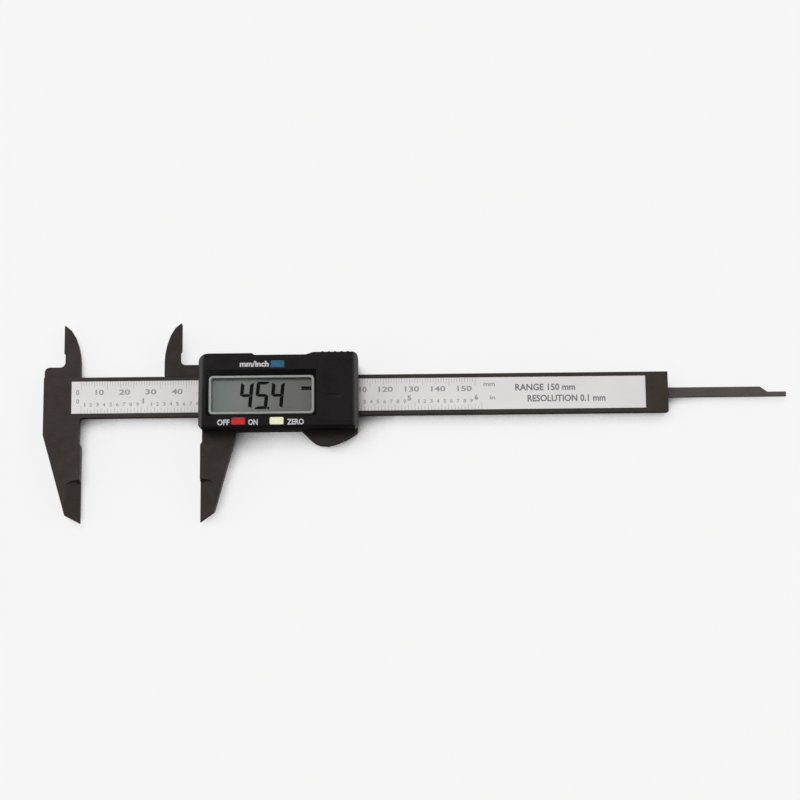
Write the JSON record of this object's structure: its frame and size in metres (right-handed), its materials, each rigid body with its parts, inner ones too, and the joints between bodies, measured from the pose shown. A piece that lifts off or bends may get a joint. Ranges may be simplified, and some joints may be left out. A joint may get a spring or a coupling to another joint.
{
  "type": "digital caliper",
  "caption": "Electronic slide caliper with outside jaws, inside nibs, depth rod, sliding display housing, push buttons and a slide-off battery cover.",
  "frame": {"origin": "zero point: on the plane of the fixed outside measuring face, on the beam's centreline, at the fixed jaw's back face", "axes": "+X along the beam towards the depth rod, +Y towards the inside nibs, +Z out of the display"},
  "size_m": [0.2832, 0.0763, 0.0145],
  "materials": {
    "jaw_composite": "moulded carbon-fibre composite, satin",
    "housing_plastic": "fine moulded texture",
    "label_film": "satin printed film",
    "circuit_board": "solder-masked glass-epoxy board",
    "bezel_silver": "silver-lacquered plastic",
    "clear_window": "clear polished",
    "display_panel": "grey-green reflective display",
    "elastomer": "layered conductive rubber",
    "chip_epoxy": "epoxy drop",
    "capacitor_ceramic": "fired body",
    "spring_steel": "rolled strip",
    "cell_steel": "bright drawn can",
    "screw_steel": "zinc plated",
    "red_button": "moulded satin",
    "yellow_button": "moulded satin",
    "blue_button": "moulded satin"
  },
  "bodies": {
    "beam": {"beam": "jaw_composite", "scale_board": "circuit_board", "scale_label": "label_film", "end_stop_plate": "spring_steel", "end_stop_screw_upper": "screw_steel", "end_stop_screw_lower": "screw_steel"},
    "slider": {"slider_frame": "jaw_composite", "depth_rod": "jaw_composite", "gib_spring": "spring_steel", "housing_screw_front_upper": "screw_steel", "housing_screw_front_lower": "screw_steel", "housing_screw_rear_upper": "screw_steel", "housing_screw_rear_lower": "screw_steel", "front_housing": "housing_plastic", "lcd_bezel": "bezel_silver", "lcd_window": "clear_window", "lcd_glass": "display_panel", "zebra_strip_upper": "elastomer", "zebra_strip_lower": "elastomer", "main_board": "circuit_board", "board_screw_upper": "screw_steel", "board_screw_lower": "screw_steel", "chip_cover": "chip_epoxy", "filter_capacitor": "capacitor_ceramic", "battery": "cell_steel", "battery_contact_minus": "spring_steel", "battery_contact_plus": "spring_steel", "power_switch_dome": "spring_steel", "zero_switch_dome": "spring_steel", "unit_switch_dome": "spring_steel"},
    "battery_cover": {"battery_cover": "housing_plastic"},
    "power_button": {"power_button": "red_button"},
    "zero_button": {"zero_button": "yellow_button"},
    "unit_button": {"unit_button": "blue_button"}
  },
  "joints": [
    {"name": "slider_slide", "type": "slide", "parent": "beam", "child": "slider", "axis": [1, 0, 0], "range_m": [-0.0454, 0.1096]},
    {"name": "battery_cover_slide", "type": "slide", "parent": "slider", "child": "battery_cover", "axis": [1, 0, 0], "range_m": [0, 0.017]},
    {"name": "power_button_press", "type": "slide", "parent": "slider", "child": "power_button", "axis": [0, 0, -1], "range_m": [0, 0.0005], "stiffness_N_per_m": 1000},
    {"name": "zero_button_press", "type": "slide", "parent": "slider", "child": "zero_button", "axis": [0, 0, -1], "range_m": [0, 0.0005], "stiffness_N_per_m": 1000},
    {"name": "unit_button_press", "type": "slide", "parent": "slider", "child": "unit_button", "axis": [0, 0, -1], "range_m": [0, 0.0005], "stiffness_N_per_m": 1000}
  ]
}
